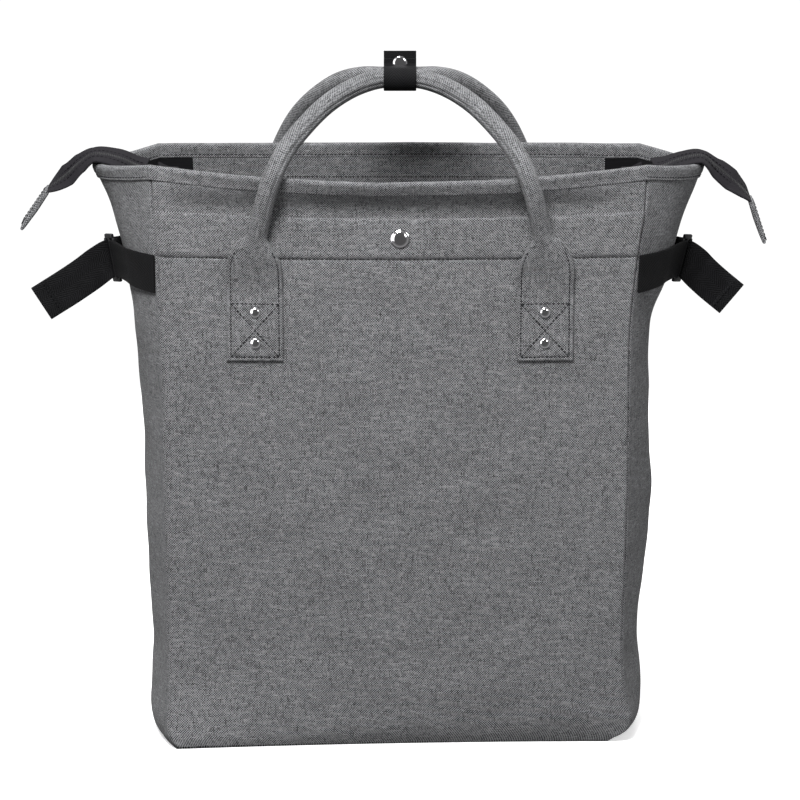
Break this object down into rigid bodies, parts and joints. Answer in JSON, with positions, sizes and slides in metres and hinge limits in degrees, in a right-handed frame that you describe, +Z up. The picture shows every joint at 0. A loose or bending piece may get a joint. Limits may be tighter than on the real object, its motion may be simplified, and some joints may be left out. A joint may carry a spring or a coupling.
{
  "type": "convertible backpack",
  "caption": "Open-topped woven backpack with rolled grab handles joined by a snap wrap, a front slip pocket, webbing straps on the gussets, a mouth zip and padded back straps.",
  "frame": {"origin": "middle of the base panel's underside, on the floor", "axes": "+Z up, the front with the slip pocket faces -Y, +X to the right of a viewer who faces the front"},
  "size_m": [0.5877, 0.2069, 0.5425],
  "materials": {
    "heather": "two-tone grey melange plain weave",
    "lining": "black satin-weave polyester",
    "webbing": "black ribbed webbing",
    "zip": "charcoal zip tape with nylon coil",
    "plastic": "black moulded plastic, satin",
    "steel": "polished nickel plate"
  },
  "bodies": {
    "root": {"front_panel": "heather", "back_panel": "heather", "gusset_left": "heather", "gusset_right": "heather", "base_panel": "heather", "lining": "lining", "rim_hem": "heather", "front_pocket": "heather", "pocket_stud": "steel", "handle_front": "heather", "rivet_front_left_lower": "steel", "rivet_front_left_upper": "steel", "rivet_front_right_lower": "steel", "rivet_front_right_upper": "steel", "handle_back": "heather", "rivet_back_left_lower": "steel", "rivet_back_left_upper": "steel", "rivet_back_right_lower": "steel", "rivet_back_right_upper": "steel", "handle_wrap": "webbing", "wrap_snap": "steel", "side_band_left": "webbing", "side_buckle_left": "plastic", "side_strap_left": "webbing", "side_band_right": "webbing", "side_buckle_right": "plastic", "side_strap_right": "webbing", "placket_front": "heather", "placket_back": "heather", "zip_tape_front": "zip", "zip_tape_back": "zip", "zip_tail_left": "zip", "zip_slider_left": "steel", "zip_end_tab_left": "heather", "zip_tail_right": "zip", "zip_slider_right": "steel", "zip_end_tab_right": "heather", "shoulder_pad_left": "heather", "shoulder_adjuster_left": "plastic", "shoulder_webbing_left": "webbing", "shoulder_pad_right": "heather", "shoulder_adjuster_right": "plastic", "shoulder_webbing_right": "webbing"}
  },
  "joints": []
}
